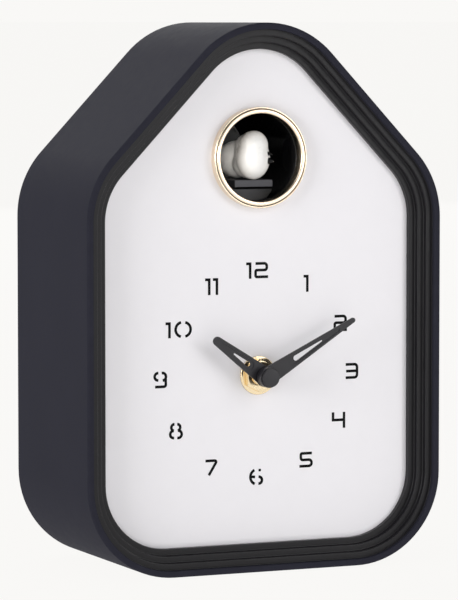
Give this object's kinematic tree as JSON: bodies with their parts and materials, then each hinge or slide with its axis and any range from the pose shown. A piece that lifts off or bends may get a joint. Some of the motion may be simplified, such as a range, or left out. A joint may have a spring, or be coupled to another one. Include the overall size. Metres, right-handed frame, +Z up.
{
  "type": "cuckoo clock",
  "caption": "House-shaped cuckoo clock with a stepped dark case, white dial plate, ringed window with a sliding bird, quartz hands and a rear battery bay.",
  "frame": {"origin": "middle of the flat bottom, half way through the depth of the case", "axes": "+X to the right of someone facing the dial, +Y from the dial to the back, +Z up"},
  "size_m": [0.1618, 0.0851, 0.2298],
  "materials": {
    "case_plastic": "fine satin moulded shell, very slightly navy",
    "bezel_plastic": "satin black stepped front",
    "dial_white": "smooth white plate",
    "gold_trim": "polished pale gold",
    "brass_fittings": "turned brass",
    "gloss_black": "gloss black",
    "hand_grey": "dark grey satin lacquer",
    "bird_white": "smooth white",
    "carriage_grey": "dark grey",
    "gear_natural": "natural acetal",
    "housing_black": "matt black",
    "steel": "bright zinc plated",
    "copper_wire": "enamelled copper wire",
    "board_green": "solder mask",
    "cell_sleeve": "printed battery sleeve, density of a cell",
    "magnet_dark": "ferrite",
    "cone_paper": "doped paper",
    "frame_steel": "pressed steel",
    "rubber": "soft rubber"
  },
  "bodies": {
    "case": {"case_shell": "case_plastic", "front_bezel": "bezel_plastic", "dial_plate": "dial_white", "dial_chassis": "housing_black", "window_ring": "gold_trim", "bird_tunnel": "gloss_black", "rear_cover": "case_plastic", "cover_screw_1": "steel", "cover_screw_2": "steel", "cover_screw_3": "steel", "cover_screw_4": "steel", "cover_screw_5": "steel", "cover_screw_6": "steel", "rubber_washer": "rubber", "shaft_bushing": "brass_fittings", "shaft_washer": "brass_fittings", "shaft_nut": "brass_fittings", "movement_base": "housing_black", "movement_cover": "housing_black", "coil": "copper_wire", "stator": "steel", "movement_board": "board_green", "quartz_crystal": "steel", "bird_drive_frame": "frame_steel", "gear_axle": "steel", "bird_motor": "steel", "speaker_frame": "frame_steel", "speaker_cone": "cone_paper", "speaker_magnet": "magnet_dark", "sound_board": "board_green", "sound_chip": "gloss_black", "switch_body": "steel", "button_contact": "steel", "battery_box": "housing_black", "battery_cell_1": "cell_sleeve", "battery_cell_2": "cell_sleeve", "contact_strip_left": "steel", "contact_strip_right": "steel"},
    "minute_set": {"minute_arbor": "brass_fittings", "minute_hand": "hand_grey", "hand_cap": "gloss_black"},
    "hour_set": {"hour_wheel": "gear_natural", "hour_hand": "hand_grey"},
    "motion": {"motion_wheel": "gear_natural"},
    "setting_knob": {"set_knob": "housing_black"},
    "rotor_unit": {"rotor": "magnet_dark"},
    "intermediate": {"intermediate_wheel": "gear_natural"},
    "seconds": {"seconds_wheel": "gear_natural"},
    "third": {"third_wheel": "gear_natural"},
    "centre": {"centre_wheel": "gear_natural"},
    "bird": {"bird_figure": "bird_white", "bird_beak": "hand_grey", "bird_carriage": "carriage_grey"},
    "drive": {"drive_gear": "gear_natural"},
    "motor_shaft": {"motor_pinion": "brass_fittings"},
    "switch": {"sound_switch": "gloss_black"},
    "button": {"test_button": "gloss_black"},
    "door": {"battery_door": "case_plastic"}
  },
  "joints": [
    {"name": "minute_turn", "type": "hinge", "parent": "case", "child": "minute_set", "pos_m": [0, 0, 0.082], "axis": [0, 1, 0], "continuous": true},
    {"name": "hour_turn", "type": "hinge", "parent": "case", "child": "hour_set", "pos_m": [0, 0, 0.082], "axis": [0, 1, 0], "continuous": true},
    {"name": "motion_turn", "type": "hinge", "parent": "case", "child": "motion", "pos_m": [0, 0, 0.092], "axis": [0, 1, 0], "continuous": true},
    {"name": "setting_turn", "type": "hinge", "parent": "case", "child": "setting_knob", "pos_m": [0, 0, 0.102], "axis": [0, 1, 0], "continuous": true},
    {"name": "rotor_turn", "type": "hinge", "parent": "case", "child": "rotor_unit", "pos_m": [-0.00097, 0, 0.06064], "axis": [0, 1, 0], "continuous": true},
    {"name": "intermediate_turn", "type": "hinge", "parent": "case", "child": "intermediate", "pos_m": [-0.00517, 0, 0.06792], "axis": [0, 1, 0], "continuous": true},
    {"name": "seconds_turn", "type": "hinge", "parent": "case", "child": "seconds", "pos_m": [-0.01193, 0, 0.07038], "axis": [0, 1, 0], "continuous": true},
    {"name": "third_turn", "type": "hinge", "parent": "case", "child": "third", "pos_m": [-0.00888, 0, 0.07877], "axis": [0, 1, 0], "continuous": true},
    {"name": "centre_turn", "type": "hinge", "parent": "case", "child": "centre", "pos_m": [0, 0, 0.082], "axis": [0, 1, 0], "continuous": true},
    {"name": "bird_slide", "type": "slide", "parent": "case", "child": "bird", "axis": [0, -1, 0], "range_m": [0, 0.018]},
    {"name": "drive_turn", "type": "hinge", "parent": "case", "child": "drive", "pos_m": [0, 0.002, 0.1422], "axis": [1, 0, 0], "range_deg": [0, 215]},
    {"name": "motor_turn", "type": "hinge", "parent": "case", "child": "motor_shaft", "pos_m": [0, 0.01159, 0.13632], "axis": [1, 0, 0], "range_deg": [-860, 0]},
    {"name": "sound_switch_slide", "type": "slide", "parent": "case", "child": "switch", "axis": [1, 0, 0], "range_m": [-0.0038, 0.0038]},
    {"name": "test_button_press", "type": "slide", "parent": "case", "child": "button", "axis": [0, -1, 0], "range_m": [0, 0.0015], "stiffness_N_per_m": 300, "springref_m": -0.001},
    {"name": "battery_door_slide", "type": "slide", "parent": "case", "child": "door", "axis": [1, 0, 0], "range_m": [0, 0.038]}
  ],
  "couplings": [
    {"joint": "hour_turn", "follows": "minute_turn", "ratio": 0.083333},
    {"joint": "motion_turn", "follows": "minute_turn", "ratio": -0.33333},
    {"joint": "setting_turn", "follows": "minute_turn", "ratio": 1},
    {"joint": "intermediate_turn", "follows": "rotor_turn", "ratio": -0.16667},
    {"joint": "seconds_turn", "follows": "rotor_turn", "ratio": 0.033333},
    {"joint": "third_turn", "follows": "rotor_turn", "ratio": -0.0044444},
    {"joint": "centre_turn", "follows": "rotor_turn", "ratio": 0.00055556},
    {"joint": "drive_turn", "follows": "bird_slide", "rad_per_m": 208.33},
    {"joint": "motor_turn", "follows": "bird_slide", "rad_per_m": -833.33}
  ]
}
